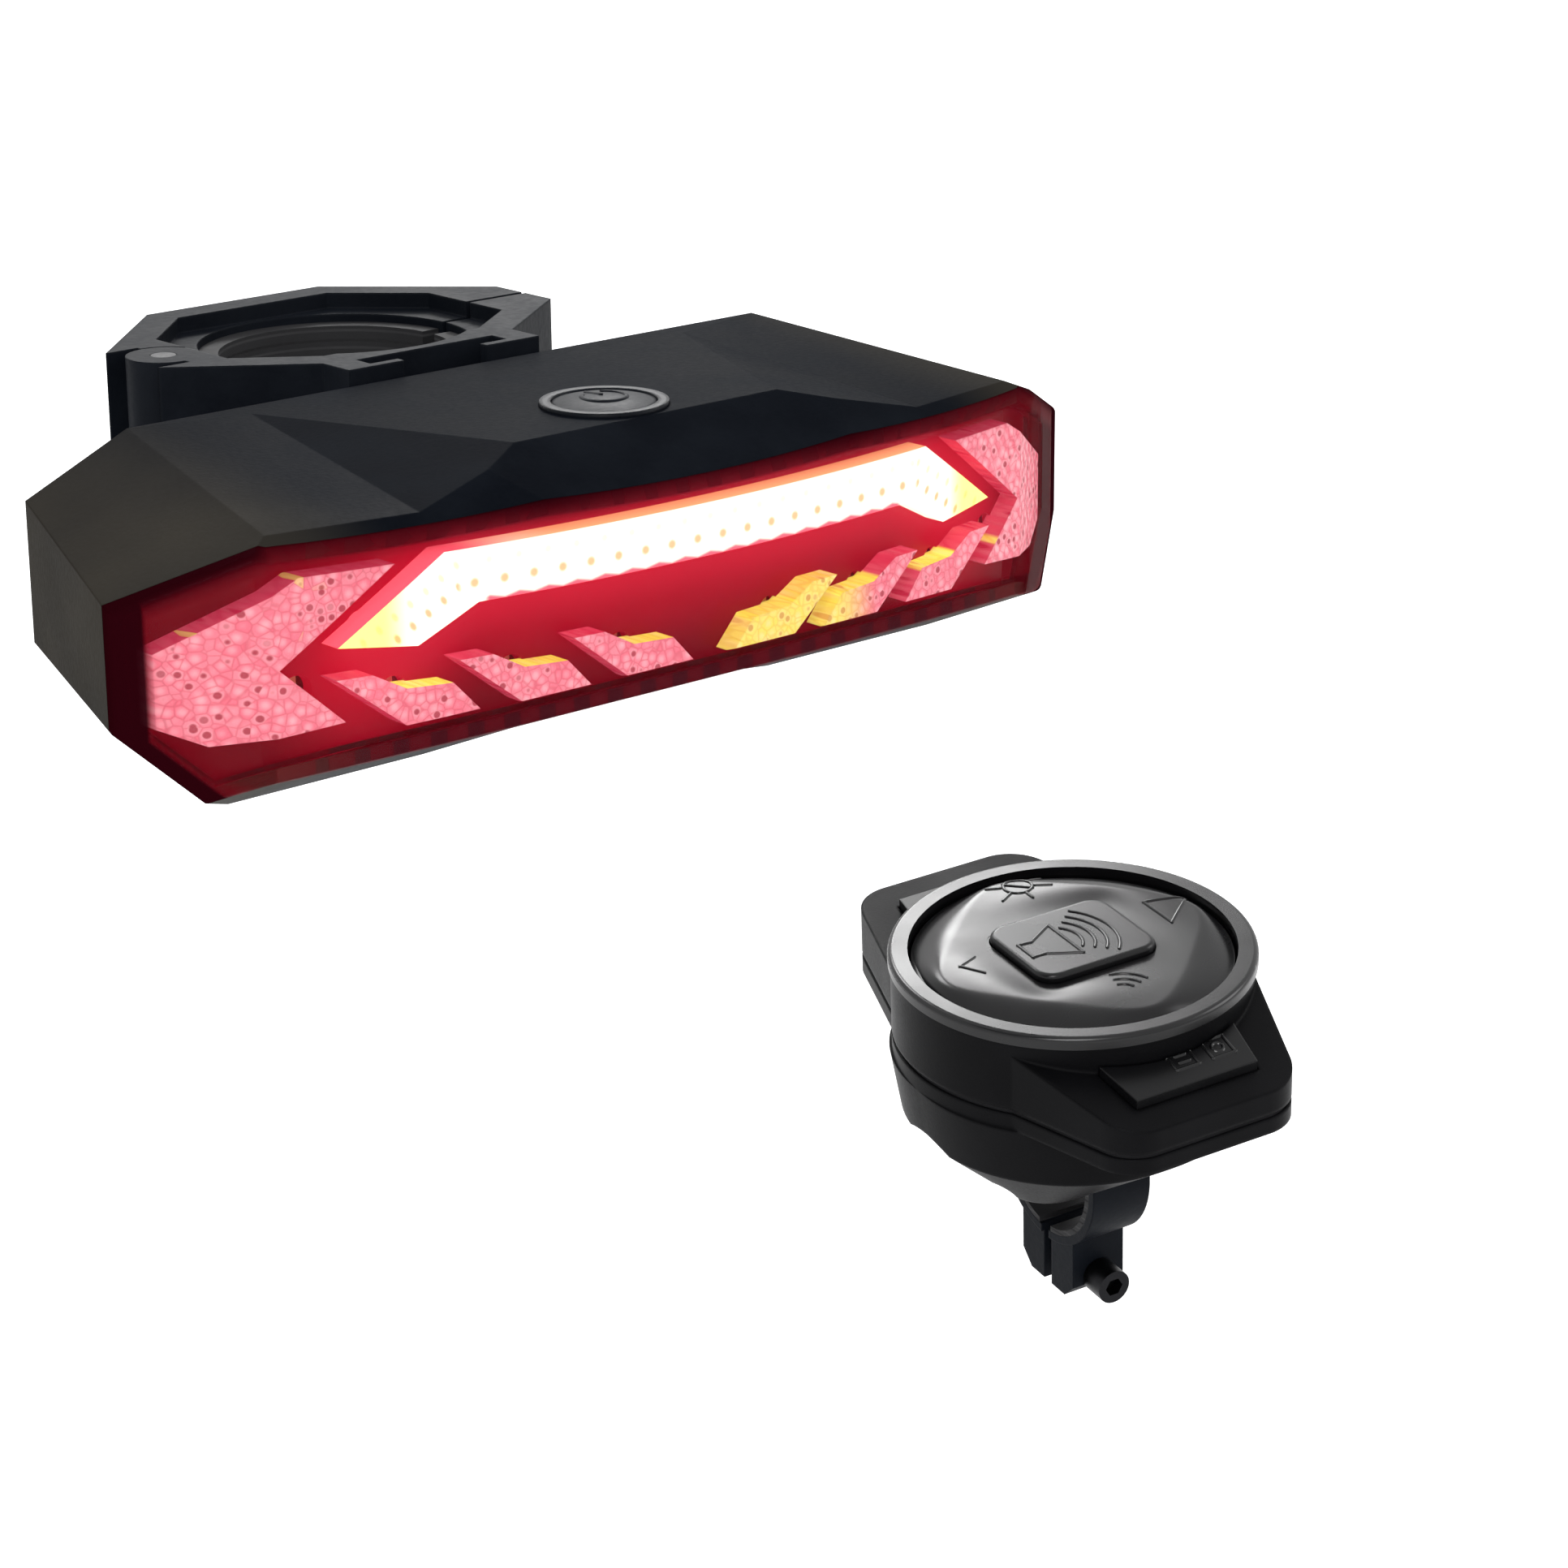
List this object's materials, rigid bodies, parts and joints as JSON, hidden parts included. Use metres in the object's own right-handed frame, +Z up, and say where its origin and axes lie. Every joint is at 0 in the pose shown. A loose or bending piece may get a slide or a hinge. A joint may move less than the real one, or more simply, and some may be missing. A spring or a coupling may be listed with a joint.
{
  "type": "bicycle turn signal light",
  "caption": "Bicycle tail light with a brake bar and turn arrows on a hinged seat-tube clamp, with its wireless handlebar remote: a rocker pad, horn key and side keys.",
  "frame": {"origin": "middle of the seat-tube clamp's bore, on the tube's axis", "axes": "+Z up the seat tube, -Y to the rear of the bicycle where the lens faces, +X to the side of the bicycle on which the remote stands"},
  "size_m": [0.22, 0.105, 0.1661],
  "materials": {
    "housing": "fine matte moulding, blue-black",
    "lens": "clear red, glossy outside",
    "reflector": "glossy crimson",
    "bar_guide": "milky light guide with rows of dots",
    "turn_guide": "prismatic light guide",
    "lamp": "small lamp body",
    "circuit_board": "coated fibreglass board",
    "chip": "matte black moulding",
    "metal_can": "plated sheet",
    "cell_wrap": "shrunk plastic sleeve",
    "cradle": "matte moulding",
    "trim": "satin ring",
    "button": "satin cap",
    "seal_rubber": "soft black",
    "cover_rubber": "firm black",
    "clamp_plastic": "glass-filled, fine grain",
    "pad_rubber": "ribbed, matte",
    "screws": "stainless",
    "nuts": "plain steel",
    "remote_case": "satin black moulding",
    "bezel": "polished black rim",
    "rocker": "satin black with moulded marks",
    "keys": "satin black",
    "key_rubber": "grey silicone",
    "coin_metal": "plated cell case"
  },
  "bodies": {
    "bracket": {"bracket_body": "clamp_plastic", "clamp_nut": "nuts", "jaw_hinge_pin": "nuts", "fixed_jaw_pad": "pad_rubber", "rail_spring": "nuts"},
    "swing_jaw": {"clamp_jaw": "clamp_plastic", "swing_jaw_pad": "pad_rubber"},
    "clamp_screw": {"clamp_screw": "screws"},
    "light": {"housing_shell": "housing", "red_lens": "lens", "lens_seal": "seal_rubber", "reflector_tray": "reflector", "brake_light_bar": "bar_guide", "right_turn_chevron": "turn_guide", "left_turn_chevron": "turn_guide", "right_small_chevrons": "turn_guide", "left_small_chevrons": "turn_guide", "lamp_board": "circuit_board", "brake_leds": "lamp", "turn_leds": "lamp", "main_board": "circuit_board", "board_header": "chip", "control_chip": "chip", "radio_receiver": "metal_can", "battery_cell": "cell_wrap", "battery_cradle": "cradle", "alarm_siren": "chip", "button_ring": "trim", "button_seal": "seal_rubber", "power_switch": "chip", "charging_socket": "metal_can", "housing_screws": "screws", "rail_plate": "clamp_plastic", "rail_screws": "screws"},
    "power_button": {"power_button": "button"},
    "socket_cover": {"socket_cover": "cover_rubber"},
    "remote": {"remote_base": "remote_case", "remote_gasket": "seal_rubber", "remote_top_shell": "remote_case", "bezel_ring": "bezel", "remote_board": "circuit_board", "dome_switches": "nuts", "key_mat": "key_rubber", "coin_cell": "coin_metal", "battery_clip": "nuts", "remote_screws": "screws", "bar_clamp_band": "clamp_plastic", "bar_pad": "pad_rubber", "bar_clamp_nut": "nuts", "band_screws": "screws"},
    "rocker_ring": {"rocker_pivot": "nuts"},
    "rocker": {"rocker_pad": "rocker"},
    "horn_key": {"horn_key": "keys"},
    "front_key": {"front_side_key": "keys"},
    "back_key": {"back_side_key": "keys"},
    "bar_clamp_screw": {"bar_clamp_screw": "screws"}
  },
  "joints": [
    {"name": "jaw_swing", "type": "hinge", "parent": "bracket", "child": "swing_jaw", "pos_m": [-0.025, 0, 0], "axis": [0, 0, 1], "range_deg": [0, 75]},
    {"name": "clamp_screw_turn", "type": "hinge", "parent": "swing_jaw", "child": "clamp_screw", "pos_m": [0.023, 0, 0], "axis": [0, 1, 0], "continuous": true},
    {"name": "light_slide", "type": "slide", "parent": "bracket", "child": "light", "axis": [0, 0, 1], "range_m": [0, 0.026]},
    {"name": "power_button_press", "type": "slide", "parent": "light", "child": "power_button", "axis": [0, 0, -1], "range_m": [0, 0.0008], "stiffness_N_per_m": 900},
    {"name": "socket_cover_flap", "type": "hinge", "parent": "light", "child": "socket_cover", "pos_m": [0.038, -0.0242, 0.008], "axis": [1, 0, 0], "range_deg": [0, 110]},
    {"name": "remote_turn_on_bar", "type": "hinge", "parent": "bracket", "child": "remote", "pos_m": [0.126, -0.00541, -0.13057], "axis": [0.9698, -0.2232, 0.0987], "range_deg": [-30, 30]},
    {"name": "rocker_tip_front_back", "type": "hinge", "parent": "remote", "child": "rocker_ring", "pos_m": [0.12236, -0.0084, -0.10155], "axis": [0.9698, -0.2232, 0.0987], "range_deg": [-3, 3], "stiffness_Nm_per_rad": 0.6},
    {"name": "rocker_tip_left_right", "type": "hinge", "parent": "rocker_ring", "child": "rocker", "pos_m": [0.12236, -0.0084, -0.10155], "axis": [0.2103, 0.9695, 0.1262], "range_deg": [-3, 3], "stiffness_Nm_per_rad": 0.6},
    {"name": "horn_key_press", "type": "slide", "parent": "rocker", "child": "horn_key", "axis": [0.1239, 0.1016, -0.9871], "range_m": [0, 0.0008], "stiffness_N_per_m": 900},
    {"name": "front_key_press", "type": "slide", "parent": "remote", "child": "front_key", "axis": [0.1239, 0.1016, -0.9871], "range_m": [0, 0.0006], "stiffness_N_per_m": 900},
    {"name": "back_key_press", "type": "slide", "parent": "remote", "child": "back_key", "axis": [0.1239, 0.1016, -0.9871], "range_m": [0, 0.0006], "stiffness_N_per_m": 900},
    {"name": "bar_clamp_screw_turn", "type": "hinge", "parent": "remote", "child": "bar_clamp_screw", "pos_m": [0.12825, -0.00356, -0.14854], "axis": [0.2103, 0.9695, 0.1262], "continuous": true}
  ]
}
